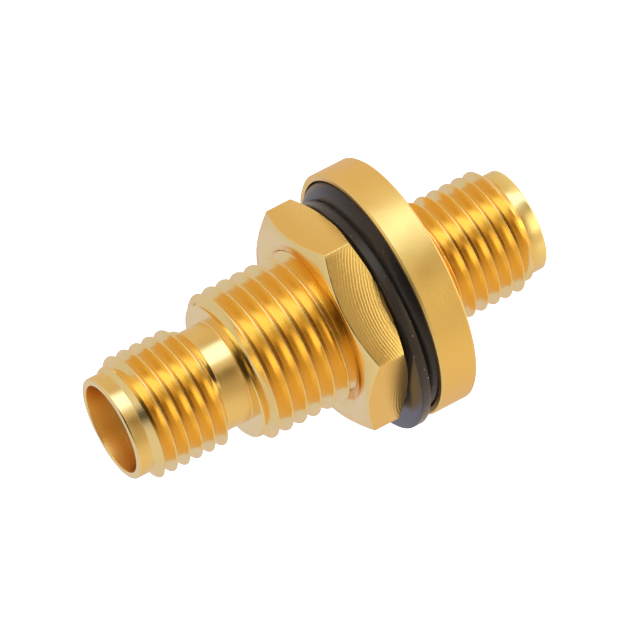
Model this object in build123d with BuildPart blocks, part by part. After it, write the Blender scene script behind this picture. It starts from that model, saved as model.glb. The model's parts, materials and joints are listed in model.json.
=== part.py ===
from build123d import *
import math
import os

os.makedirs("parts", exist_ok=True)

# A coaxial adapter with a threaded jack at both ends and a sealed bulkhead
# thread between them. Its axis is Z. Z = 0 is the mouth of the jack beside the
# flange, which the adapter stands on. All sizes are in millimetres.

# Lengths along the axis, in order from the lower mouth to the upper one
flange_port_length = 6.50
flange_thickness = 2.00
bulkhead_length = 8.38
neck_length = 1.27
long_port_length = 5.10

# The jack at each end
dielectric_radius = 2.05
plug_ledge = 0.27
plug_depth = 1.90
nose_wall = 0.36
nose_length = 0.76
nose_chamfer = 0.10
port_thread_step = 0.495
port_thread_lead = 0.45
port_thread_runout = 0.35
port_relief_length = 0.55

# The neck, and the web that stops the insulators half way along the bore
neck_wall = 0.60
web_length = 1.20
web_step = 0.30

# The bulkhead thread, drawn at its major diameter
bulkhead_thread_radius = 3.97
bulkhead_relief_depth = 0.42
bulkhead_relief_length = 0.75
bulkhead_runout = 0.30
bulkhead_lead = 0.45

# The flange and the O-ring in its face
seal_land = 0.58
oring_section = 1.50
oring_clearance = 0.05
oring_stand = 0.50
flange_rim = 0.35
flange_chamfer = 0.12

# The loose flat gasket, which hangs against one side of the thread
gasket_play = 0.78
gasket_width = 1.30
gasket_thickness = 0.51
gasket_side_gap = 0.03
gasket_seal_gap = 0.03
gasket_hang_angle = 143.0

# The hex nut
nut_wall = 1.13
nut_thickness = 2.30
nut_thread_clearance = 0.05
nut_seat_gap = 0.02
nut_turn = -3.1
nut_face_inset = 0.08
nut_chamfer_angle = 30.0
nut_seat_chamfer_angle = 25.0
nut_bore_chamfer = 0.30

# The centre contact, slotted at both ends
contact_radius = 0.635
contact_recess = 0.05
collar_step = 0.165
socket_radius = 0.47
socket_depth = 2.80
tine_slot_width = 0.14
tine_slot_length = 2.10
tine_slots = 2
tip_chamfer = 0.08

# The insulators
insulator_clearance = 0.01
insulator_chamfer = 0.15
tine_room = 0.12
tine_room_depth = 2.30

# Stations along the axis
flange_under_z = flange_port_length
flange_face_z = flange_under_z + flange_thickness
shoulder_z = flange_face_z + bulkhead_length
long_port_z = shoulder_z + neck_length
overall_length = long_port_z + long_port_length
middle_z = overall_length / 2
web_bottom_z = middle_z - web_length / 2
web_top_z = middle_z + web_length / 2
bore_depth = web_bottom_z

# Radii that follow from what fits together
bore_radius = dielectric_radius + plug_ledge
nose_radius = bore_radius + nose_wall
port_thread_radius = nose_radius + port_thread_step
neck_radius = dielectric_radius + neck_wall
web_radius = dielectric_radius - web_step
bulkhead_relief_radius = bulkhead_thread_radius - bulkhead_relief_depth
groove_inner_radius = bulkhead_thread_radius + seal_land
oring_inner_radius = groove_inner_radius + oring_clearance
oring_middle_radius = oring_inner_radius + oring_section / 2
groove_outer_radius = oring_inner_radius + oring_section + oring_clearance
groove_depth = oring_section + oring_clearance - oring_stand
flange_radius = groove_outer_radius + flange_rim


def jack_bore(mouth):
    """Cut the plug's counterbore and the insulator's bore inwards from one mouth."""
    with Locations(mouth):
        CounterBoreHole(
            radius=dielectric_radius,
            counter_bore_radius=bore_radius,
            counter_bore_depth=plug_depth,
            depth=bore_depth,
        )


with BuildPart() as connector_body:
    # Half of the turned outline, from the lower mouth to the upper one
    with BuildSketch(Plane.XZ):
        with BuildLine():
            thread_foot_z = flange_under_z - port_relief_length
            relief_top_z = flange_face_z + bulkhead_relief_length
            nose_foot_z = overall_length - nose_length
            Polyline(
                (0, 0),
                (nose_radius, 0),
                (nose_radius, nose_length),
                (port_thread_radius, nose_length + port_thread_lead),
                (port_thread_radius, thread_foot_z - port_thread_runout),
                (neck_radius, thread_foot_z),
                (neck_radius, flange_under_z),
                (flange_radius, flange_under_z),
                (flange_radius, flange_face_z),
                (bulkhead_relief_radius, flange_face_z),
                (bulkhead_relief_radius, relief_top_z),
                (bulkhead_thread_radius, relief_top_z + bulkhead_runout),
                (bulkhead_thread_radius, shoulder_z - bulkhead_lead),
                (bulkhead_thread_radius - bulkhead_lead, shoulder_z),
                (neck_radius, shoulder_z),
                (neck_radius, long_port_z),
                (port_thread_radius, long_port_z + port_thread_runout),
                (port_thread_radius, nose_foot_z - port_thread_lead),
                (nose_radius, nose_foot_z),
                (nose_radius, overall_length),
                (0, overall_length),
                close=True,
            )
        make_face()
    revolve(axis=Axis.Z)

    # The groove that holds the O-ring, open towards the nut
    with BuildSketch(Plane.XY.offset(flange_face_z)):
        Circle(groove_outer_radius)
        Circle(groove_inner_radius, mode=Mode.SUBTRACT)
    extrude(amount=-groove_depth, mode=Mode.SUBTRACT)

    # Both jacks, joined by the hole through the web
    jack_bore(Plane.XY.offset(overall_length))
    jack_bore(Plane.XY.rotated((180, 0, 0)))
    Hole(web_radius)

    # Broken edges: both mouths and the rim of the flange
    circles = connector_body.edges().filter_by(GeomType.CIRCLE)
    mouths = circles.filter_by(lambda edge: abs(edge.radius - nose_radius) < 0.001)
    chamfer([mouths.sort_by(Axis.Z)[0], mouths.sort_by(Axis.Z)[-1]], nose_chamfer)
    circles = connector_body.edges().filter_by(GeomType.CIRCLE)
    rim = circles.filter_by(lambda edge: abs(edge.radius - flange_radius) < 0.001)
    chamfer(rim, flange_chamfer)

connector_body.part.label = "connector_body"
export_step(connector_body.part, "parts/connector_body.step")


# The centre contact: a turned pin with a collar at its middle and a slotted
# socket at each end, whose four tines grip the mating pin
contact_bottom_z = plug_depth + contact_recess
contact_length = overall_length - 2 * contact_bottom_z
collar_radius = contact_radius + collar_step

with BuildPart() as center_contact:
    with BuildSketch(Plane.XY.offset(contact_bottom_z)):
        Circle(contact_radius)
    extrude(amount=contact_length)
    tips = center_contact.edges().filter_by(GeomType.CIRCLE)
    chamfer(tips, tip_chamfer)
    with BuildSketch(Plane.XY.offset(web_bottom_z)):
        Circle(collar_radius)
    extrude(amount=web_length)
    for tip in (
        Plane.XY.offset(contact_bottom_z + contact_length),
        Plane.XY.offset(contact_bottom_z).rotated((180, 0, 0)),
    ):
        with Locations(tip):
            Hole(socket_radius, depth=socket_depth)
        with BuildSketch(tip):
            with PolarLocations(0, tine_slots, angular_range=180):
                Rectangle(4 * contact_radius, tine_slot_width)
        extrude(amount=-tine_slot_length, mode=Mode.SUBTRACT)

center_contact.part.label = "center_contact"
export_step(center_contact.part, "parts/center_contact.step")


# One insulator fills each jack, from the plug's ledge down to the web. Its hole
# is wider at the mouth, where the tines spread
insulator_radius = dielectric_radius - insulator_clearance
insulator_hole_radius = contact_radius + insulator_clearance
tine_hole_radius = contact_radius + tine_room

for insulator_name, mouth_z, web_z, inward in (
    ("long_side_insulator", overall_length - plug_depth, web_top_z, -1),
    ("flange_side_insulator", plug_depth, web_bottom_z, 1),
):
    with BuildPart() as insulator:
        with BuildSketch(Plane.XZ):
            with BuildLine():
                Polyline(
                    (tine_hole_radius, mouth_z),
                    (insulator_radius, mouth_z),
                    (insulator_radius, web_z - inward * insulator_chamfer),
                    (insulator_radius - insulator_chamfer, web_z),
                    (insulator_hole_radius, web_z),
                    (insulator_hole_radius, mouth_z + inward * tine_room_depth),
                    (tine_hole_radius, mouth_z + inward * tine_room_depth),
                    close=True,
                )
            make_face()
        revolve(axis=Axis.Z)
    insulator.part.label = insulator_name
    export_step(insulator.part, f"parts/{insulator_name}.step")


# The O-ring lies on the floor of its groove and stands out of the flange's face.
# Its round section is two half circles that meet where its mould parts
oring_top_z = flange_face_z + oring_stand
oring_middle = (oring_middle_radius, oring_top_z - oring_section / 2)

with BuildPart() as face_oring:
    with BuildSketch(Plane.XZ):
        with BuildLine():
            CenterArc(oring_middle, oring_section / 2, 0, 180)
            CenterArc(oring_middle, oring_section / 2, 180, 180)
        make_face()
    revolve(axis=Axis.Z)

face_oring.part.label = "face_oring"
export_step(face_oring.part, "parts/face_oring.step")


# The flat gasket is larger than the thread, so it hangs to one side
gasket_z = oring_top_z + gasket_seal_gap
gasket_top_z = gasket_z + gasket_thickness
gasket_hole_radius = bulkhead_thread_radius + gasket_play
gasket_radius = gasket_hole_radius + gasket_width
gasket_offset = gasket_play - gasket_side_gap
gasket_x = gasket_offset * math.cos(math.radians(gasket_hang_angle))
gasket_y = gasket_offset * math.sin(math.radians(gasket_hang_angle))

with BuildPart() as panel_gasket:
    with BuildSketch(Plane.XY.offset(gasket_z)):
        with Locations((gasket_x, gasket_y)):
            Circle(gasket_radius)
            Circle(gasket_hole_radius, mode=Mode.SUBTRACT)
    extrude(amount=gasket_thickness)

panel_gasket.part.label = "panel_gasket"
export_step(panel_gasket.part, "parts/panel_gasket.step")


# The nut, with its corners turned off by a cone on both faces, less on its seat
nut_z = gasket_top_z + nut_seat_gap
nut_top_z = nut_z + nut_thickness
nut_bore_radius = bulkhead_thread_radius + nut_thread_clearance
nut_apothem = nut_bore_radius + nut_wall
nut_face_radius = nut_apothem - nut_face_inset
nut_reach = nut_apothem / math.cos(math.radians(30)) + nut_face_inset
nut_corner_step = nut_reach - nut_face_radius
nut_corner_drop = nut_corner_step * math.tan(math.radians(nut_chamfer_angle))
nut_seat_rise = nut_corner_step * math.tan(math.radians(nut_seat_chamfer_angle))

with BuildPart() as hex_nut:
    with BuildSketch(Plane.XY.offset(nut_z)):
        RegularPolygon(nut_apothem, 6, major_radius=False, rotation=nut_turn)
    extrude(amount=nut_thickness)
    with BuildSketch(Plane.XZ):
        with BuildLine():
            Polyline(
                (0, nut_z),
                (nut_face_radius, nut_z),
                (nut_reach, nut_z + nut_seat_rise),
                (nut_reach, nut_top_z - nut_corner_drop),
                (nut_face_radius, nut_top_z),
                (0, nut_top_z),
                close=True,
            )
        make_face()
    revolve(axis=Axis.Z, mode=Mode.INTERSECT)
    Hole(nut_bore_radius)
    bore_edges = (
        hex_nut.edges()
        .filter_by(GeomType.CIRCLE)
        .filter_by(lambda edge: abs(edge.radius - nut_bore_radius) < 0.001)
    )
    chamfer(bore_edges, nut_bore_chamfer)

hex_nut.part.label = "hex_nut"
export_step(hex_nut.part, "parts/hex_nut.step")

print("overall length", round(overall_length, 3))
print("flange diameter", round(2 * flange_radius, 3))
print("nut across flats", round(2 * nut_apothem, 3))
print("nut from", round(nut_z, 3), "to", round(nut_top_z, 3))
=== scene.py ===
# %% [markdown]
# # A gold-plated bulkhead adapter
# The real thing joins two coaxial cables through a panel. It is turned from brass and
# gold plated: a threaded jack at each end, a flange, a coarser thread that passes
# through the panel, a hex nut, and two black rubber seals. The lesson dresses the
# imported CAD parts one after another, from the outside in.

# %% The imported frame
import json
import math

import bmesh
import bpy
import numpy as np
from mathutils import Matrix, Vector, noise

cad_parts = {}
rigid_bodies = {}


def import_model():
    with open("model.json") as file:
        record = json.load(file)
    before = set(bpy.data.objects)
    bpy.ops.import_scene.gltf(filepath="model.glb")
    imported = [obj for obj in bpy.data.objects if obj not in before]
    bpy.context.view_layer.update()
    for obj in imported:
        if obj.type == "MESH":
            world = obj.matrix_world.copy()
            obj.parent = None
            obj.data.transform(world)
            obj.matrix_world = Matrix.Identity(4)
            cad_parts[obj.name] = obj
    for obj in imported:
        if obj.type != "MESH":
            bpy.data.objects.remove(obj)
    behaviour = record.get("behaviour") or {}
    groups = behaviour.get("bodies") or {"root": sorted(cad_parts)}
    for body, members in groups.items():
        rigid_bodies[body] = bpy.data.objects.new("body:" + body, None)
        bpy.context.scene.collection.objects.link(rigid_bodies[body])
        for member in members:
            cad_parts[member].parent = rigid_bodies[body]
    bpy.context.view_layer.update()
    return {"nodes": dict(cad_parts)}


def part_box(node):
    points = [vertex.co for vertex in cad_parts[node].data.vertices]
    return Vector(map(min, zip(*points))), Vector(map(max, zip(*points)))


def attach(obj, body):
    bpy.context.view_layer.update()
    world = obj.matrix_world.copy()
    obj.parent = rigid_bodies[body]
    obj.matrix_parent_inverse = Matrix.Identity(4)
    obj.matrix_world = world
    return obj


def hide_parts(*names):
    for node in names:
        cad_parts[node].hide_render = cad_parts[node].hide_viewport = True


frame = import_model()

# %% [markdown]
# ## Sizes
# The CAD nodes say where everything is. The shapes are worked out in millimetres,
# because a thread's crest is easier to judge as 0.05 mm than as 0.00005 m, and each
# finished mesh is brought to metres in one step.

# %% Sizes read from the frame
MM = 0.001


def node_box(node):
    """Lowest and highest corner of a CAD node, in millimetres."""
    low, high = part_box(node)
    return low / MM, high / MM


_, body_high = node_box("connector_body")
nut_low, nut_high = node_box("hex_nut")
oring_low, oring_high = node_box("face_oring")
gasket_low, gasket_high = node_box("panel_gasket")
LENGTH = body_high.z
FLANGE_RADIUS = body_high.x
print("adapter", round(LENGTH, 3), "mm long, flange", round(2 * FLANGE_RADIUS, 3), "mm")

# %% [markdown]
# ## Camera
# The photograph looks slightly into the open jack, from far away through a long lens,
# so the adapter hardly narrows with distance. Here the adapter stands on its other
# end, so the same view is a camera that looks down at it and is rolled over.

# %% The camera at the photograph's angle
CAMERA_ELEVATION = math.radians(17.69)
CAMERA_ROLL = math.radians(-117.31)
CAMERA_DISTANCE = 413.9 * MM
CAMERA_LENS = 481.0
CAMERA_TARGET = Vector((0.06, 0.0, 11.35)) * MM

camera_data = bpy.data.cameras.new("photo_camera")
camera_data.sensor_width = 36.0
camera_data.lens = CAMERA_LENS
camera_data.clip_start = 0.01
camera_data.clip_end = 10.0
camera = bpy.data.objects.new("photo_camera", camera_data)
bpy.context.scene.collection.objects.link(camera)
towards_camera = Vector((0, -math.cos(CAMERA_ELEVATION), math.sin(CAMERA_ELEVATION)))
camera.matrix_world = (
    Matrix.Translation(CAMERA_TARGET + towards_camera * CAMERA_DISTANCE)
    @ towards_camera.to_track_quat("Z", "Y").to_matrix().to_4x4()
    @ Matrix.Rotation(CAMERA_ROLL, 4, "Z")
)
bpy.context.scene.camera = camera
print("camera at", [round(x, 4) for x in camera.matrix_world.translation])

# %% [markdown]
# ## Shaders
# One helper adds a node, sets its properties and fills its sockets, so each material
# below reads as a list of what is in it. Colours are written as the hex values that a
# paint program shows, and turned to the linear values that a shader needs.

# %% Helpers for the materials
def linear(hex_colour):
    """Linear colour with alpha of an sRGB hex value such as "F9C369"."""
    channels = [int(hex_colour[i:i + 2], 16) / 255 for i in (0, 2, 4)]
    return [c / 12.92 if c <= 0.04045 else ((c + 0.055) / 1.055) ** 2.4 for c in channels] + [1.0]


def add_node(tree, kind, settings=None, inputs=None):
    """Add a shader node, set its properties, and give its sockets values or links."""
    node = tree.nodes.new(kind)
    for name, value in (settings or {}).items():
        setattr(node, name, value)
    for name, value in (inputs or {}).items():
        if isinstance(value, bpy.types.NodeSocket):
            tree.links.new(value, node.inputs[name])
        else:
            node.inputs[name].default_value = value
    return node


def new_material(name):
    """An empty node material and its output node."""
    material = bpy.data.materials.new(name)
    material.use_nodes = True
    material.node_tree.nodes.clear()
    return material, add_node(material.node_tree, "ShaderNodeOutputMaterial")


print("white is", [round(x, 3) for x in linear("FFFFFF")], "and mid grey", round(linear("808080")[0], 3))

# %% [markdown]
# ## Gold plating
# A few micrometres of hard gold over turned brass. It takes the shine of what is
# under it: bright in the threads and on the necks, where the tool left a fine finish,
# and silky on the flange. Gold is a metal, so its colour is the colour of its
# reflections, and a groove that reflects its own wall looks deeper and more orange.
# The rings that the tool left are too fine to count in the render; they only roughen the
# shine along the axis. The grain is drawn coarser than the real one, so that it shows.
# The gloss differs a little from place to place, as on a part that has been handled.

# %% Turned gold
GOLD = "FCD379"
SATIN_GOLD = "FCCB68"
TOOL_MARK_MM = 0.035

# So low that a ring hardly changes on its way round the part
DRIFT_PER_M = 60
GRAIN_MM = 0.09
HANDLED_MM = 1.6


def turned_gold(name, roughness, mark_depth_mm, grain_depth_mm, colour=GOLD):
    """Gold over a turned surface: rings left by the tool, fine grain, uneven gloss."""
    material, output = new_material(name)
    tree = material.node_tree
    place = add_node(tree, "ShaderNodeTexCoord").outputs["Object"]
    rings = add_node(tree, "ShaderNodeMapping", inputs={
        "Vector": place, "Scale": (DRIFT_PER_M, DRIFT_PER_M, 1 / (TOOL_MARK_MM * MM))})
    marks = add_node(tree, "ShaderNodeTexNoise", inputs={
        "Vector": rings.outputs["Vector"], "Scale": 1.0, "Detail": 2.0})
    grain = add_node(tree, "ShaderNodeTexNoise", inputs={
        "Vector": place, "Scale": 1 / (GRAIN_MM * MM), "Detail": 3.0})
    cloud = add_node(tree, "ShaderNodeTexNoise", inputs={
        "Vector": place, "Scale": 1 / (HANDLED_MM * MM), "Detail": 2.0})
    gloss = add_node(tree, "ShaderNodeMapRange", inputs={
        "Value": cloud.outputs["Fac"], "From Min": 0.35, "From Max": 0.65,
        "To Min": roughness - 0.04, "To Max": roughness + 0.05})
    marked = add_node(tree, "ShaderNodeBump", inputs={
        "Height": marks.outputs["Fac"], "Distance": mark_depth_mm * MM})
    grained = add_node(tree, "ShaderNodeBump", inputs={
        "Height": grain.outputs["Fac"], "Distance": grain_depth_mm * MM,
        "Normal": marked.outputs["Normal"]})
    shader = add_node(tree, "ShaderNodeBsdfPrincipled", inputs={
        "Base Color": linear(colour), "Metallic": 1.0,
        "Roughness": gloss.outputs["Result"], "Normal": grained.outputs["Normal"]})
    tree.links.new(shader.outputs["BSDF"], output.inputs["Surface"])
    return material


thread_gold = turned_gold("gold_plate_on_turned_thread", 0.20, 0.0006, 0.002)
satin_gold = turned_gold("gold_plate_on_satin_flange", 0.36, 0.0, 0.006, SATIN_GOLD)
bore_gold = turned_gold("gold_plate_in_bore", 0.30, 0.0006, 0.003, SATIN_GOLD)
print("finishes of the body:", thread_gold.name, satin_gold.name, bore_gold.name)

# %% [markdown]
# ## Mesh helpers
# Nearly every piece is turned on a lathe. An outline of a few points is rounded at
# its corners with a vertex bevel and spun round the axis, which is exactly what the
# lathe does. Pieces that meet share a ring of points, so that they close when doubled
# points are merged.

# %% Helpers for turned shapes
# A multiple of six, so that each corner of the nut falls on a step
AROUND = 168


def outline_wire(bm, points):
    """Points (radius, height) joined by edges in the plane of the axis."""
    verts = [bm.verts.new((radius, 0, height)) for radius, height in points]
    edges = [bm.edges.new(pair) for pair in zip(verts, verts[1:])]
    return verts, edges


def round_corners(bm, verts, offset, segments=3):
    """Round the chosen corners of an outline."""
    bmesh.ops.bevel(
        bm, geom=verts, offset=offset, offset_type="OFFSET", segments=segments,
        profile=0.5, affect="VERTICES", material=-1, clamp_overlap=True)


def elements(bm):
    """All points and edges of a mesh, to tell later ones from."""
    return set(bm.verts) | set(bm.edges)


def added(bm, known):
    """The points and edges that are not among the known ones."""
    return ([vert for vert in bm.verts if vert not in known],
            [edge for edge in bm.edges if edge not in known])


def turn(bm, points, rounded=(), chamfered=()):
    """Spin an outline a full circle. rounded and chamfered hold (size, point numbers)."""
    known = elements(bm)
    verts, _ = outline_wire(bm, points)
    for offset, corners in rounded:
        round_corners(bm, [verts[i] for i in corners], offset)
    for offset, corners in chamfered:
        round_corners(bm, [verts[i] for i in corners], offset, 1)
    verts, edges = added(bm, known)
    bmesh.ops.spin(
        bm, geom=verts + edges, cent=(0, 0, 0), axis=(0, 0, 1), angle=2 * math.pi,
        steps=AROUND, use_merge=True, use_duplicate=False)


print(AROUND, "steps round, so a facet of the flange is",
      round(2 * math.pi * FLANGE_RADIUS / AROUND, 2), "mm wide")

# %% [markdown]
# ## Finishing a piece
# Every piece ends the same way: doubled points are merged, slivers are dissolved, the
# mesh is brought to metres, and it takes the place of its CAD node. Edges sharper than
# 32 degrees stay sharp, and so do the rings where a thread ends. A modifier then
# weights the normals by area, so that a broad face stays flat between rounded edges.

# %% Finishing a piece
MERGE_MM = 0.0008
SLIVER_MM = 0.0005
SMOOTH_BELOW = math.radians(32)
CREASE_MM = 0.002
BROAD_FACES_WEIGHT = 90


def finish_piece(bm, name, body, node, materials, creases=()):
    """Close a mesh and let it ride in place of its CAD node. creases holds heights in mm."""
    bmesh.ops.remove_doubles(bm, verts=bm.verts, dist=MERGE_MM)
    bmesh.ops.dissolve_degenerate(bm, edges=bm.edges, dist=SLIVER_MM)
    bmesh.ops.recalc_face_normals(bm, faces=bm.faces)
    open_edges = sum(not edge.is_manifold for edge in bm.edges)
    bmesh.ops.scale(bm, vec=(MM, MM, MM), verts=bm.verts)
    mesh = bpy.data.meshes.new(name)
    bm.to_mesh(mesh)
    bm.free()
    mesh.polygons.foreach_set("use_smooth", [True] * len(mesh.polygons))
    mesh.set_sharp_from_angle(angle=SMOOTH_BELOW)
    for edge in mesh.edges:
        ends = [mesh.vertices[number].co.z / MM for number in edge.vertices]
        if any(max(abs(end - height) for end in ends) < CREASE_MM for height in creases):
            edge.use_edge_sharp = True
    for material in materials:
        mesh.materials.append(material)
    piece = bpy.data.objects.new(name, mesh)
    bpy.context.scene.collection.objects.link(piece)
    flatter = piece.modifiers.new("flat_between_rounded_edges", "WEIGHTED_NORMAL")
    flatter.keep_sharp = True
    flatter.weight = BROAD_FACES_WEIGHT
    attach(piece, body)
    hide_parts(node)
    print(name, len(mesh.polygons), "faces,", open_edges, "open edges")


# %% [markdown]
# ## Threads
# The jacks have a 1/4-36 thread and the panel thread is 5/16-32. Both are 60 degree
# threads with a sharp root and a narrow crest. The flanks are a little steeper near the
# crest, where the die raised the metal. FLANK lists them as depth below the crest and
# distance from its middle, in pitches. One turn's outline is spun with a rise of one
# pitch a turn, and the rings of points are then held to the shape that the bar had
# before the thread was cut: that gives the lead-in and the run-out.

# %% Threads
PORT_PITCH = 25.4 / 36
PANEL_PITCH = 25.4 / 32
FLANK = [(0.0, 0.030), (0.14, 0.081), (0.45, 0.253), (0.74, 0.5)]
CREST_ROUND_MM = 0.012
CREST_BAND_MM = 0.01
BURR_MM = 0.009
BURRS_PER_MM = 6.0


def thread(bm, crest_radius, pitch, crest_z, low, high, envelope, inside=False, grow=0.0):
    """Cut a thread between two heights. crest_z is a crest's height on the X axis."""
    known = elements(bm)
    first = crest_z - math.ceil((crest_z - low) / pitch + 1) * pitch
    turns = math.ceil((high - first) / pitch)
    tip = crest_radius + grow
    rising = [(tip - depth * pitch, first + side * pitch) for depth, side in FLANK]
    falling = [(radius, 2 * first + pitch - height) for radius, height in rising[-2::-1]]
    verts, _ = outline_wire(bm, [(tip, first)] + rising + falling + [(tip, first + pitch)])
    round_corners(bm, [verts[1], verts[-2]], CREST_ROUND_MM, 2)
    wire, edges = added(bm, known)
    bmesh.ops.spin(
        bm, geom=wire + edges, cent=(0, 0, 0), axis=(0, 0, 1), dvec=(0, 0, pitch / AROUND),
        angle=2 * math.pi, steps=AROUND, use_merge=False, use_duplicate=False)
    one_turn, _ = added(bm, known)
    faces = list({face for vert in one_turn for face in vert.link_faces})
    for number in range(1, turns):
        copy = bmesh.ops.duplicate(bm, geom=faces)["geom"]
        copied = [item for item in copy if isinstance(item, bmesh.types.BMVert)]
        bmesh.ops.translate(bm, verts=copied, vec=(0, 0, number * pitch))
    verts, _ = added(bm, known)
    heights, radii = zip(*envelope)
    hold = max if inside else min
    for vert in verts:
        radius = math.hypot(vert.co.x, vert.co.y)
        limit = float(np.interp(vert.co.z, heights, radii))
        if low < vert.co.z < high:
            new_radius = hold(radius, limit)
            if not inside and radius > tip - CREST_BAND_MM and limit >= tip:
                new_radius -= BURR_MM * abs(noise.noise(vert.co * BURRS_PER_MM))
        else:
            new_radius = limit
        vert.co.x *= new_radius / radius
        vert.co.y *= new_radius / radius
        vert.co.z = min(max(vert.co.z, low), high)
    print(turns, "turns cut between", round(low, 2), "and", round(high, 2), "mm")


# %% [markdown]
# ## The turned body
# One solid bar of brass, from the open jack that the photograph shows to the jack
# behind the flange. The outline goes along the outside, over the three threads, and
# back through the bore, which steps from the plug's socket to the seat of the white
# insulators.

# %% Stations and radii of the body
NOSE_RADIUS = 2.68
NOSE_LENGTH = 0.76
PORT_RADIUS = 3.175
PORT_LEAD = 0.45
PORT_RUNOUT = 0.35
NECK_RADIUS = 2.65
PANEL_RADIUS = 3.97
PANEL_LEAD = 0.45
PANEL_RUNOUT = 0.30
BORE_RADIUS = 2.32
LEDGE_RADIUS = 2.05
LEDGE_DEPTH = 1.90
FLANGE_LOW = 6.50
FLANGE_HIGH = 8.50
RELIEF_RADIUS = 3.55
RELIEF_HIGH = 9.25
SHOULDER = 16.88
LONG_PORT_LOW = 18.15
PORT_FOOT = 5.95
GROOVE_INNER = 4.55
GROOVE_OUTER = 6.15
GROOVE_FLOOR = 7.45
WEB_LOW = 11.025
WEB_HIGH = 12.225
WEB_RADIUS = 1.75

# Height of one crest of each thread, where it passes the X axis
FLANGE_PORT_CREST = 3.33
PANEL_CREST = 14.12
LONG_PORT_CREST = 20.31
print("the plug's socket is", LEDGE_DEPTH, "mm deep and", 2 * BORE_RADIUS, "mm wide")

# %% Edges broken by the lathe
MOUTH_ROUND = 0.10
BORE_ROUND = 0.05
GROOVE_ROUND = 0.04
FOOT_ROUND = 0.06
RIM_CHAMFER = 0.10
SHOULDER_ROUND = 0.05
print("flange rim chamfered by", RIM_CHAMFER, "mm, mouths rounded by", MOUTH_ROUND, "mm")

# %% The body's mesh
bm = bmesh.new()
turn(bm, [(NOSE_RADIUS, NOSE_LENGTH), (NOSE_RADIUS, 0.0), (BORE_RADIUS, 0.0),
          (BORE_RADIUS, LEDGE_DEPTH), (LEDGE_RADIUS, LEDGE_DEPTH), (LEDGE_RADIUS, WEB_LOW),
          (WEB_RADIUS, WEB_LOW), (WEB_RADIUS, WEB_HIGH), (LEDGE_RADIUS, WEB_HIGH),
          (LEDGE_RADIUS, LENGTH - LEDGE_DEPTH), (BORE_RADIUS, LENGTH - LEDGE_DEPTH),
          (BORE_RADIUS, LENGTH), (NOSE_RADIUS, LENGTH), (NOSE_RADIUS, LENGTH - NOSE_LENGTH)],
     rounded=[(MOUTH_ROUND, (1, 12)), (BORE_ROUND, (2, 11))])
turn(bm, [(NECK_RADIUS, PORT_FOOT), (NECK_RADIUS, FLANGE_LOW), (FLANGE_RADIUS, FLANGE_LOW),
          (FLANGE_RADIUS, FLANGE_HIGH), (GROOVE_OUTER, FLANGE_HIGH),
          (GROOVE_OUTER, GROOVE_FLOOR), (GROOVE_INNER, GROOVE_FLOOR),
          (GROOVE_INNER, FLANGE_HIGH), (RELIEF_RADIUS, FLANGE_HIGH),
          (RELIEF_RADIUS, RELIEF_HIGH)],
     rounded=[(GROOVE_ROUND, (4, 7)), (FOOT_ROUND, (1, 8))], chamfered=[(RIM_CHAMFER, (2, 3))])
turn(bm, [(PANEL_RADIUS - PANEL_LEAD, SHOULDER), (NECK_RADIUS, SHOULDER),
          (NECK_RADIUS, LONG_PORT_LOW)],
     rounded=[(SHOULDER_ROUND, (1,))])

# %% The body's threads
thread(bm, PORT_RADIUS, PORT_PITCH, FLANGE_PORT_CREST, NOSE_LENGTH, PORT_FOOT,
       [(NOSE_LENGTH, NOSE_RADIUS), (NOSE_LENGTH + PORT_LEAD, PORT_RADIUS),
        (PORT_FOOT - PORT_RUNOUT, PORT_RADIUS), (PORT_FOOT, NECK_RADIUS)])
thread(bm, PANEL_RADIUS, PANEL_PITCH, PANEL_CREST, RELIEF_HIGH, SHOULDER,
       [(RELIEF_HIGH, RELIEF_RADIUS), (RELIEF_HIGH + PANEL_RUNOUT, PANEL_RADIUS),
        (SHOULDER - PANEL_LEAD, PANEL_RADIUS), (SHOULDER, PANEL_RADIUS - PANEL_LEAD)])
thread(bm, PORT_RADIUS, PORT_PITCH, LONG_PORT_CREST, LONG_PORT_LOW, LENGTH - NOSE_LENGTH,
       [(LONG_PORT_LOW, NECK_RADIUS), (LONG_PORT_LOW + PORT_RUNOUT, PORT_RADIUS),
        (LENGTH - NOSE_LENGTH - PORT_LEAD, PORT_RADIUS), (LENGTH - NOSE_LENGTH, NOSE_RADIUS)])

# %% The body's finishes
MARGIN = 0.01
for face in bm.faces:
    centre = face.calc_center_median()
    radius = math.hypot(centre.x, centre.y)
    if radius < BORE_RADIUS + 2 * MARGIN:
        face.material_index = 2
    elif FLANGE_LOW - MARGIN < centre.z < FLANGE_HIGH + MARGIN:
        face.material_index = 1
finish_piece(bm, "turned_body", "adapter", "connector_body",
             [thread_gold, satin_gold, bore_gold],
             creases=(NOSE_LENGTH, PORT_FOOT, RELIEF_HIGH, SHOULDER, LONG_PORT_LOW,
                      LENGTH - NOSE_LENGTH))

# %% [markdown]
# ## Rubber
# The O-ring and the flat gasket are black rubber. It is moulded, so it has a soft gloss
# and a faint grain, and old rubber has a pale bloom that shows where it is seen at a
# slant: that is the shader's sheen. Rubber also gathers dust, which is a noise cut off
# so high that only a few specks are left. The grain is drawn coarser than it is, so
# that it shows in the render.

# %% Rubber
RUBBER_GRAIN_MM = 0.12
DUST_MM = 0.16
DUST = "B8B4AC"


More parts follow.
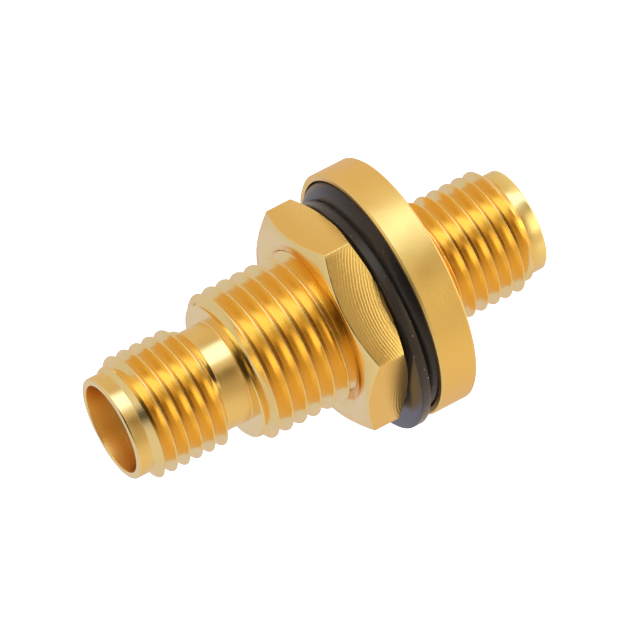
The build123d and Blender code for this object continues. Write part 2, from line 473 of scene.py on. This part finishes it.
def moulded_rubber(name, colour, roughness, grain_depth_mm):
    """Black rubber: a fine grain, specks of dust, and a bloom that pales it at a slant."""
    material, output = new_material(name)
    tree = material.node_tree
    place = add_node(tree, "ShaderNodeTexCoord").outputs["Object"]
    grain = add_node(tree, "ShaderNodeTexNoise", inputs={
        "Vector": place, "Scale": 1 / (RUBBER_GRAIN_MM * MM), "Detail": 3.0})
    dust = add_node(tree, "ShaderNodeTexNoise", inputs={
        "Vector": place, "Scale": 1 / (DUST_MM * MM), "Detail": 1.0})
    speck = add_node(tree, "ShaderNodeMapRange", inputs={
        "Value": dust.outputs["Fac"], "From Min": 0.74, "From Max": 0.78})
    shade = add_node(tree, "ShaderNodeMix", settings={"data_type": "RGBA"}, inputs={
        "Factor": speck.outputs["Result"], "A": linear(colour), "B": linear(DUST)})
    bump = add_node(tree, "ShaderNodeBump", inputs={
        "Height": grain.outputs["Fac"], "Distance": grain_depth_mm * MM})
    shader = add_node(tree, "ShaderNodeBsdfPrincipled", inputs={
        "Base Color": shade.outputs["Result"], "Roughness": roughness, "IOR": 1.50,
        "Specular Tint": linear("FFD692"), "Sheen Weight": 0.20, "Sheen Roughness": 0.4,
        "Sheen Tint": linear("FFE0A0"), "Normal": bump.outputs["Normal"]})
    tree.links.new(shader.outputs["BSDF"], output.inputs["Surface"])
    return material


oring_rubber = moulded_rubber("nitrile_rubber_moulded", "26211C", 0.30, 0.003)
gasket_rubber = moulded_rubber("flat_gasket_rubber_pressed", "2B2723", 0.28, 0.003)
print("rubbers:", oring_rubber.name, gasket_rubber.name)

# %% [markdown]
# ## The O-ring
# A circle of rubber with a round section, which sits in the flange's groove and stands
# out of its face. The mesh operators have no torus, so a circle is spun round the axis,
# with its sizes read from the CAD node's own box.

# %% The O-ring
ORING_FACETS = 36
ORING_SECTION = oring_high.z - oring_low.z
ORING_MIDDLE = oring_high.x - ORING_SECTION / 2
bm = bmesh.new()
ring = bmesh.ops.create_circle(bm, segments=ORING_FACETS, radius=ORING_SECTION / 2)["verts"]
bmesh.ops.rotate(bm, verts=ring, cent=(0, 0, 0), matrix=Matrix.Rotation(math.pi / 2, 3, "X"))
bmesh.ops.translate(bm, verts=ring, vec=(ORING_MIDDLE, 0, (oring_low.z + oring_high.z) / 2))
bmesh.ops.spin(
    bm, geom=bm.verts[:] + bm.edges[:], cent=(0, 0, 0), axis=(0, 0, 1), angle=2 * math.pi,
    steps=AROUND, use_merge=True, use_duplicate=False)
finish_piece(bm, "face_oring_rubber", "adapter", "face_oring", [oring_rubber])

# %% [markdown]
# ## The flat gasket
# A ring punched from sheet rubber, wider than the thread, so that it hangs to one side.
# It is turned like the other rings and then moved off the axis in its mesh, because
# the object itself has to stay at the origin.

# %% The flat gasket
GASKET_INNER = 4.75
GASKET_ROUND = 0.05
gasket_centre = (gasket_low + gasket_high) / 2
GASKET_RADIUS = (gasket_high.x - gasket_low.x) / 2
bm = bmesh.new()
turn(bm, [(GASKET_INNER, gasket_low.z), (GASKET_RADIUS, gasket_low.z),
          (GASKET_RADIUS, gasket_high.z), (GASKET_INNER, gasket_high.z),
          (GASKET_INNER, gasket_low.z)],
     rounded=[(GASKET_ROUND, (1, 2, 3))])
bmesh.ops.translate(bm, verts=bm.verts, vec=(gasket_centre.x, gasket_centre.y, 0))
finish_piece(bm, "flat_gasket_rubber", "gasket", "panel_gasket", [gasket_rubber])

# %% [markdown]
# ## Milled gold
# A cutter that swept across each flat of the nut left fine arcs in it, which break up
# the reflection into a brushed shine. They could be a photograph on the flats; here
# they are worked out, as waves of the distance from the middle of the cutter. The nut's
# own UV map holds each flat in millimetres, measured from that middle. A slow noise
# bends the arcs, and the grain is drawn coarser than the real one, so that it shows.

# %% Milled gold
MILL_SPACING_MM = 0.145
MILL_DEPTH_MM = 0.0024
MILL_BEND_MM = 0.12
MILL_BEND_SIZE_MM = 0.8
MILL_GRAIN_MM = 0.07
MILL_GRAIN_DEPTH_MM = 0.006


def milled_gold(name):
    """Gold over milled flats: arcs left by the cutter, read from the nut's own UV map."""
    material, output = new_material(name)
    tree = material.node_tree
    place = add_node(tree, "ShaderNodeTexCoord").outputs["Object"]
    flat = add_node(tree, "ShaderNodeUVMap", settings={"uv_map": "flats"})
    wobble = add_node(tree, "ShaderNodeTexNoise", inputs={
        "Vector": place, "Scale": 1 / (MILL_BEND_SIZE_MM * MM), "Detail": 1.0})
    reach = add_node(tree, "ShaderNodeVectorMath", settings={"operation": "LENGTH"}, inputs={
        0: flat.outputs["UV"]})
    bent = add_node(tree, "ShaderNodeMath", settings={"operation": "MULTIPLY_ADD"}, inputs={
        0: wobble.outputs["Fac"], 1: MILL_BEND_MM, 2: reach.outputs["Value"]})
    phase = add_node(tree, "ShaderNodeMath", settings={"operation": "MULTIPLY"}, inputs={
        0: bent.outputs["Value"], 1: 2 * math.pi / MILL_SPACING_MM})
    arcs = add_node(tree, "ShaderNodeMath", settings={"operation": "SINE"}, inputs={
        0: phase.outputs["Value"]})
    grain = add_node(tree, "ShaderNodeTexNoise", inputs={
        "Vector": place, "Scale": 1 / (MILL_GRAIN_MM * MM), "Detail": 2.0})
    arc_bump = add_node(tree, "ShaderNodeBump", inputs={
        "Height": arcs.outputs["Value"], "Distance": MILL_DEPTH_MM * MM})
    bump = add_node(tree, "ShaderNodeBump", inputs={
        "Height": grain.outputs["Fac"], "Distance": MILL_GRAIN_DEPTH_MM * MM,
        "Normal": arc_bump.outputs["Normal"]})
    shader = add_node(tree, "ShaderNodeBsdfPrincipled", inputs={
        "Base Color": linear(SATIN_GOLD), "Metallic": 1.0, "Roughness": 0.30,
        "Normal": bump.outputs["Normal"]})
    tree.links.new(shader.outputs["BSDF"], output.inputs["Surface"])
    return material


nut_face_gold = turned_gold("gold_plate_on_turned_nut_face", 0.22, 0.0006, 0.003)
nut_flat_gold = milled_gold("gold_plate_on_milled_flat")
print("finishes of the nut:", nut_face_gold.name, nut_flat_gold.name)

# %% [markdown]
# ## The hex nut
# Milled from bar, with its corners turned off on both faces. Each column of the mesh
# runs from the bore over the face, the cone and the flat, and its points are moved
# out to where the cone meets the flat at that angle. That gives the curved edges of
# a real nut without any cutting.

# %% The nut's sizes
NUT_TURN = math.radians(-3.1)
SIXTH = math.radians(60)
NUT_APOTHEM = 5.15
NUT_FACE_INSET = 0.08
NUT_CLEARANCE = 0.05
NUT_BORE = 4.02
NUT_BORE_CHAMFER = 0.30
NUT_THREAD_ROOM = 0.5
NUT_SLOPE = math.tan(math.radians(30))
NUT_SEAT_SLOPE = math.tan(math.radians(25))
NUT_EDGE = 0.035
NUT_CORNER = math.radians(20)
low, high = nut_low.z, nut_high.z
face_radius = NUT_APOTHEM - NUT_FACE_INSET
mouth = NUT_BORE + NUT_BORE_CHAMFER
print("nut", round(2 * NUT_APOTHEM, 2), "mm across its flats and", round(high - low, 2), "mm thick")

# %% The nut's faces and flats
# Rows 0 to 7 run from the mouth of the low face, over the flats, to that of the high face
FACE_ROWS = (0, 1, 6, 7)
HALFWAY_ROWS = (2, 5)
FIRST_HIGH_ROW = 4
ROW_STEP = 0.25


def flat_angle(angle):
    """Angle from the middle of the nearest flat, with a corner on the X axis."""
    return angle % SIXTH - SIXTH / 2


bm = bmesh.new()
row = bm.verts.layers.int.new("row")
verts, edges = outline_wire(bm, [
    (mouth, low), (face_radius, low), (face_radius, low + ROW_STEP),
    (face_radius, low + 2 * ROW_STEP), (face_radius, high - 2 * ROW_STEP),
    (face_radius, high - ROW_STEP), (face_radius, high), (mouth, high)])
for number, vert in enumerate(verts):
    vert[row] = number
bmesh.ops.spin(
    bm, geom=verts + edges, cent=(0, 0, 0), axis=(0, 0, 1), angle=2 * math.pi,
    steps=AROUND, use_merge=True, use_duplicate=False)
for vert in bm.verts:
    number = vert[row]
    if number in FACE_ROWS:
        continue
    angle = math.atan2(vert.co.y, vert.co.x)
    reach = NUT_APOTHEM / math.cos(flat_angle(angle))
    share = 0.5 if number in HALFWAY_ROWS else 1.0
    out = (reach - face_radius) * share
    radius = face_radius + out
    vert.co.x, vert.co.y = radius * math.cos(angle), radius * math.sin(angle)
    if number < FIRST_HIGH_ROW:
        vert.co.z = low + out * NUT_SEAT_SLOPE
    else:
        vert.co.z = high - out * NUT_SLOPE
print(len(bm.verts), "points on the nut's faces and flats")

# %% The nut's broken edges
# Only the six upright corners, which lie between the two rows at the flats' ends
bmesh.ops.recalc_face_normals(bm, faces=bm.faces)
sharp = [edge for edge in bm.edges if len(edge.link_faces) == 2
         and edge.calc_face_angle() > NUT_CORNER
         and all(vert[row] in (FIRST_HIGH_ROW - 1, FIRST_HIGH_ROW) for vert in edge.verts)]
bmesh.ops.bevel(bm, geom=sharp, offset=NUT_EDGE, offset_type="OFFSET", segments=2,
                profile=0.5, affect="EDGES", material=-1, clamp_overlap=True)
print(len(sharp), "nut edges broken")

# %% The nut's thread
# Cut before the nut is turned to its rest angle, so its crest is lowered by that turn
nut_crest = PANEL_CREST + PANEL_PITCH * NUT_TURN / (2 * math.pi)
thread(bm, PANEL_RADIUS, PANEL_PITCH, nut_crest, low, high,
       [(low, mouth), (low + NUT_BORE_CHAMFER, NUT_BORE - NUT_THREAD_ROOM),
        (high - NUT_BORE_CHAMFER, NUT_BORE - NUT_THREAD_ROOM), (high, mouth)],
       inside=True, grow=NUT_CLEARANCE)
bm.normal_update()

# %% The nut's finishes
MILL_RADIUS_MM = 6.5
MILL_SIDE_MM = -0.83
TILT_OF_A_CONE = 0.3
uv = bm.loops.layers.uv.new("flats")
for face in bm.faces:
    centre = face.calc_center_median()
    angle = math.atan2(centre.y, centre.x)
    if math.hypot(centre.x, centre.y) < face_radius or abs(face.normal.z) > TILT_OF_A_CONE:
        continue
    face.material_index = 1
    middle = angle - flat_angle(angle)
    for loop in face.loops:
        side = loop.vert.co.y * math.cos(middle) - loop.vert.co.x * math.sin(middle)
        rise = loop.vert.co.z - (low + high) / 2
        loop[uv].uv = (side - MILL_SIDE_MM, rise + MILL_RADIUS_MM)
bmesh.ops.rotate(bm, verts=bm.verts, cent=(0, 0, 0), matrix=Matrix.Rotation(NUT_TURN, 3, "Z"))
finish_piece(bm, "hex_nut_milled", "nut", "hex_nut",
             [nut_face_gold, nut_flat_gold])

# %% [markdown]
# ## Inside the jacks
# The centre contact and the two insulators are right as they come from the CAD, so
# they keep their meshes and only get their finish: bright gold, and waxy white PTFE.
# The wax in it is a little subsurface light, and its clouding is drawn coarser than
# the real one.

# %% Contact and insulators
PTFE_CLOUD_MM = 0.25
PTFE_DEPTH_MM = 0.004
PTFE_GLOW_MM = 0.3


def waxy_ptfe(name):
    """White PTFE: a soft, slightly see-through plastic that is turned, not moulded."""
    material, output = new_material(name)
    tree = material.node_tree
    place = add_node(tree, "ShaderNodeTexCoord").outputs["Object"]
    grain = add_node(tree, "ShaderNodeTexNoise", inputs={
        "Vector": place, "Scale": 1 / (PTFE_CLOUD_MM * MM), "Detail": 3.0})
    tint = add_node(tree, "ShaderNodeMix", settings={"data_type": "RGBA"}, inputs={
        "Factor": grain.outputs["Fac"], "A": linear("F1F0EC"), "B": linear("E6E4DD")})
    bump = add_node(tree, "ShaderNodeBump", inputs={
        "Height": grain.outputs["Fac"], "Distance": PTFE_DEPTH_MM * MM})
    shader = add_node(tree, "ShaderNodeBsdfPrincipled", inputs={
        "Base Color": tint.outputs["Result"], "Roughness": 0.42, "IOR": 1.35,
        "Subsurface Weight": 0.15, "Subsurface Scale": PTFE_GLOW_MM * MM,
        "Normal": bump.outputs["Normal"]})
    tree.links.new(shader.outputs["BSDF"], output.inputs["Surface"])
    return material


ptfe = waxy_ptfe("ptfe_turned")
contact_gold = turned_gold("gold_plate_on_spring_contact", 0.18, 0.001, 0.001)
for node, material in (("long_side_insulator", ptfe), ("flange_side_insulator", ptfe),
                       ("center_contact", contact_gold)):
    mesh = frame["nodes"][node].data
    mesh.materials.clear()
    mesh.materials.append(material)
    print(node, "keeps its CAD mesh and gets", material.name)

# %% [markdown]
# ## Floor
# The adapter is shown on a white light table, which is how such pictures are made: the
# table glows a little, so it stays white and hardly holds a shadow. The table is kept
# out of reflections and casts no shadow, because the world below stands in for what
# the gold would see of it.

# %% Floor
TABLE_RADIUS_M = 3.0
floor_bm = bmesh.new()
bmesh.ops.create_circle(floor_bm, cap_ends=True, segments=96, radius=TABLE_RADIUS_M)
floor_mesh = bpy.data.meshes.new("light_table")
floor_bm.to_mesh(floor_mesh)
floor_bm.free()
floor = bpy.data.objects.new("light_table", floor_mesh)
bpy.context.scene.collection.objects.link(floor)
floor.visible_glossy = False
floor.visible_shadow = False
acrylic, acrylic_output = new_material("opal_acrylic_lit_from_below")
table_shader = add_node(acrylic.node_tree, "ShaderNodeBsdfPrincipled", inputs={
    "Base Color": linear("F4F4F2"), "Roughness": 0.6,
    "Emission Color": linear("FFFFFF"), "Emission Strength": 0.8})
acrylic.node_tree.links.new(table_shader.outputs["BSDF"], acrylic_output.inputs["Surface"])
floor_mesh.materials.append(acrylic)
print("light table", 2 * TABLE_RADIUS_M, "m across")

# %% [markdown]
# ## A tent of light
# Nearly all the light comes from the world, which stands for a white tent. Its level
# follows the direction in which it is seen: the bearing, as on a map, and the height,
# which is 1 straight up and -1 straight down. It could be a few lamps, but gold shows
# what is round it and not only where the lamps are, so the whole tent is described.

# %% Bearing and height
world = bpy.data.worlds.new("white_tent")
bpy.context.scene.world = world
world.use_nodes = True
world.node_tree.nodes.clear()
tree = world.node_tree

direction = add_node(tree, "ShaderNodeTexCoord").outputs["Generated"]
parts = add_node(tree, "ShaderNodeSeparateXYZ", inputs={"Vector": direction})
height = parts.outputs["Z"]
bearing = add_node(tree, "ShaderNodeMath", {"operation": "ARCTAN2"}, {
    0: parts.outputs["Y"], 1: parts.outputs["X"]}).outputs["Value"]
print("the camera stands at bearing -90, at height", round(towards_camera.z, 2))

# %% [markdown]
# ## Rings of light
# Three rings give the level by bearing, as pairs of a bearing in degrees and a level.
# WALLS is what a surface sees about level, UPPER_WALLS is what it sees above that, and
# TABLE is the lit table below. A turned part shows each ring as stripes along its
# length, so the levels were set by the stripes in the photograph: the dip of WALLS
# near -97 is the brown band, and the rise of TABLE near -116 lights the lower side.

# %% Rings of light
WALLS = [
    (-180, 0.84), (-160, 0.78), (-140, 0.60), (-120, 0.45), (-106, 0.31), (-97, 0.23),
    (-90, 0.29), (-80, 0.70), (-65, 0.80), (-35, 0.80), (-20, 0.66), (0, 0.72),
    (25, 0.74), (60, 0.72), (90, 0.74), (120, 0.74), (150, 0.80), (180, 0.84)]
UPPER_WALLS = [
    (-180, 0.84), (-160, 0.74), (-138, 0.62), (-126, 0.74), (-114, 0.86), (-102, 0.78),
    (-90, 0.62), (-78, 0.72), (-60, 0.95), (-25, 0.95), (0, 0.80), (60, 0.72), (90, 0.74),
    (120, 0.74), (150, 0.80), (180, 0.84)]
TABLE = [
    (-180, 1.00), (-167, 1.02), (-154, 0.80), (-141, 0.86), (-129, 1.50), (-116, 1.70),
    (-103, 1.46), (-90, 1.02), (-77, 0.46), (-64, 0.62), (-50, 0.85), (-25, 1.05),
    (-12, 0.82), (13, 0.84), (60, 0.80), (110, 0.80), (150, 0.85), (180, 0.95)]

HIGHEST_LEVEL = 2.0
once_round = add_node(tree, "ShaderNodeMapRange", inputs={
    "Value": bearing, "From Min": -math.pi, "From Max": math.pi}).outputs["Result"]


def ring_of_light(levels):
    """Brightness by bearing, from (bearing in degrees, level) pairs that go once round."""
    ring = add_node(tree, "ShaderNodeFloatCurve", inputs={"Value": once_round})
    curve = ring.mapping.curves[0]
    curve.points[0].location = (0.0, levels[0][1])
    curve.points[1].location = (1.0, levels[-1][1])
    for bearing_deg, level in levels[1:-1]:
        curve.points.new((bearing_deg + 180) / 360, level)
    ring.mapping.clip_max_y = HIGHEST_LEVEL
    ring.mapping.update()
    return ring.outputs["Value"]


walls_ring = ring_of_light(WALLS)
upper_ring = ring_of_light(UPPER_WALLS)
table_ring = ring_of_light(TABLE)
print(len(WALLS), len(UPPER_WALLS), "and", len(TABLE), "points in the three rings")

# %% From ring to ring
# Each ring gives way to the next between two heights
SMOOTH = {"interpolation_type": "SMOOTHSTEP"}
low_share = add_node(tree, "ShaderNodeMapRange", SMOOTH, {
    "Value": height, "From Min": -0.48, "From Max": -0.34,
    "To Min": 1.0, "To Max": 0.0}).outputs["Result"]
upper_share = add_node(tree, "ShaderNodeMapRange", SMOOTH, {
    "Value": height, "From Min": -0.10, "From Max": 0.06}).outputs["Result"]
wall = add_node(tree, "ShaderNodeMix", {"data_type": "FLOAT"}, {
    "Factor": upper_share, "A": walls_ring, "B": upper_ring}).outputs["Result"]
tent = add_node(tree, "ShaderNodeMix", {"data_type": "FLOAT"}, {
    "Factor": low_share, "A": wall, "B": table_ring}).outputs["Result"]
print(len(tree.nodes), "nodes in the world so far")

# %% [markdown]
# ## Colour of the light
# The cloth is warm where it is dim and neutral where it is bright, the table is a
# little cool, and the light from above is blue. Gold takes most of the blue away, so
# these tints only decide whether a side looks orange or pale.

# %% Colour of the light
DIM_TINT = (1.0, 0.82, 0.64, 1.0)
BRIGHT_TINT = (0.96, 0.90, 0.92, 1.0)
TABLE_TINT = (1.0, 1.03, 1.10, 1.0)
CEILING_TINT = (0.94, 1.03, 1.45, 1.0)
cloth = add_node(tree, "ShaderNodeMapRange", inputs={
    "Value": tent, "From Min": 0.35, "From Max": 0.85}).outputs["Result"]
high_share = add_node(tree, "ShaderNodeMapRange", SMOOTH, {
    "Value": height, "From Min": 0.05, "From Max": 0.30}).outputs["Result"]
wall_tint = add_node(tree, "ShaderNodeMix", {"data_type": "RGBA"}, {
    "Factor": cloth, "A": DIM_TINT, "B": BRIGHT_TINT}).outputs["Result"]
low_tint = add_node(tree, "ShaderNodeMix", {"data_type": "RGBA"}, {
    "Factor": low_share, "A": wall_tint, "B": TABLE_TINT}).outputs["Result"]
tint = add_node(tree, "ShaderNodeMix", {"data_type": "RGBA"}, {
    "Factor": high_share, "A": low_tint, "B": CEILING_TINT}).outputs["Result"]
print("the light from above is", round(CEILING_TINT[2] / CEILING_TINT[0], 2), "times as blue as red")

# %% [markdown]
# ## The dark side and the underside
# Behind the camera the tent is open above a low edge, and the room there is dark. The
# far wall of the open jack faces that way, which makes its bore look deep. Straight
# below, the table is brighter than its ring says, which fills the undersides.

# %% The dark side and the underside
DARK_BEARING = -97
DARK_REACH = 25
DARK_END = 55
DARKNESS = 0.96
UNDERSIDE_GAIN = 1.7
off_dark = add_node(tree, "ShaderNodeMath", {"operation": "SUBTRACT"}, {
    0: bearing, 1: math.radians(DARK_BEARING)}).outputs["Value"]
off_dark_size = add_node(tree, "ShaderNodeMath", {"operation": "ABSOLUTE"}, {
    0: off_dark}).outputs["Value"]
dark_side = add_node(tree, "ShaderNodeMapRange", SMOOTH, {
    "Value": off_dark_size, "From Min": math.radians(DARK_REACH),
    "From Max": math.radians(DARK_END), "To Min": 1.0, "To Max": 0.0}).outputs["Result"]
dark_height = add_node(tree, "ShaderNodeMapRange", SMOOTH, {
    "Value": height, "From Min": 0.14, "From Max": 0.27,
    "To Min": 0.0, "To Max": DARKNESS}).outputs["Result"]
dark = add_node(tree, "ShaderNodeMath", {"operation": "MULTIPLY"}, {
    0: dark_side, 1: dark_height}).outputs["Value"]
lit = add_node(tree, "ShaderNodeMath", {"operation": "SUBTRACT"}, {
    0: 1.0, 1: dark}).outputs["Value"]
wall_level = add_node(tree, "ShaderNodeMath", {"operation": "MULTIPLY"}, {
    0: tent, 1: lit}).outputs["Value"]
underside = add_node(tree, "ShaderNodeMapRange", SMOOTH, {
    "Value": height, "From Min": -0.95, "From Max": -0.86,
    "To Min": UNDERSIDE_GAIN, "To Max": 1.0}).outputs["Result"]
level = add_node(tree, "ShaderNodeMath", {"operation": "MULTIPLY"}, {
    0: wall_level, 1: underside}).outputs["Value"]
walls = add_node(tree, "ShaderNodeBackground", inputs={"Color": tint, "Strength": level})
print("dark between bearings", DARK_BEARING - DARK_REACH, "and", DARK_BEARING + DARK_REACH)

# %% [markdown]
# ## The key
# A tall, narrow window of light to one side of the camera. It is strongly blue, because
# that is what gold must be lit with to give the nearly white highlight that runs along
# the whole part. Its edges are soft, it fades above, and it is narrower below.

# %% The key
KEY_BEARING = -48
KEY_REACH = 19
KEY_EDGE = 8
KEY_NARROWING = 8
KEY_TOP = 0.5
KEY_TINT = (0.60, 1.15, 2.6, 1.0)
off_key = add_node(tree, "ShaderNodeMath", {"operation": "SUBTRACT"}, {
    0: bearing, 1: math.radians(KEY_BEARING)}).outputs["Value"]
off_key_size = add_node(tree, "ShaderNodeMath", {"operation": "ABSOLUTE"}, {
    0: off_key}).outputs["Value"]
off_key_low = add_node(tree, "ShaderNodeMath", {"operation": "MULTIPLY_ADD"}, {
    0: low_share, 1: math.radians(KEY_NARROWING), 2: off_key_size}).outputs["Value"]
key_side = add_node(tree, "ShaderNodeMapRange", SMOOTH, {
    "Value": off_key_low, "From Min": math.radians(KEY_REACH - KEY_EDGE),
    "From Max": math.radians(KEY_REACH + KEY_EDGE),
    "To Min": 1.0, "To Max": 0.0}).outputs["Result"]
key_level = add_node(tree, "ShaderNodeMapRange", SMOOTH, {
    "Value": height, "From Min": 0.0, "From Max": KEY_TOP,
    "To Min": 1.0, "To Max": 0.0}).outputs["Result"]
key_shape = add_node(tree, "ShaderNodeMath", {"operation": "MULTIPLY"}, {
    0: key_side, 1: key_level}).outputs["Value"]
key = add_node(tree, "ShaderNodeBackground", inputs={"Color": KEY_TINT, "Strength": key_shape})
print("the key is", 2 * KEY_REACH, "degrees wide at bearing", KEY_BEARING)

# %% [markdown]
# ## The backdrop
# Past the edge of the table the picture is plain white, as it is behind the adapter in
# the photograph. The tent only lights the adapter and shows in it. The colours are
# shown as they are, without a film look, so that white stays white.

# %% The backdrop
sky = add_node(tree, "ShaderNodeAddShader", inputs={
    0: walls.outputs["Background"], 1: key.outputs["Background"]})
backdrop = add_node(tree, "ShaderNodeBackground", inputs={
    "Color": linear("FFFFFF"), "Strength": 1.0})
seen = add_node(tree, "ShaderNodeLightPath").outputs["Is Camera Ray"]
choice = add_node(tree, "ShaderNodeMixShader", inputs={
    0: seen, 1: sky.outputs["Shader"], 2: backdrop.outputs["Background"]})
add_node(tree, "ShaderNodeOutputWorld", inputs={"Surface": choice.outputs["Shader"]})
bpy.context.scene.view_settings.view_transform = "Standard"
print(len(tree.nodes), "nodes in the world")
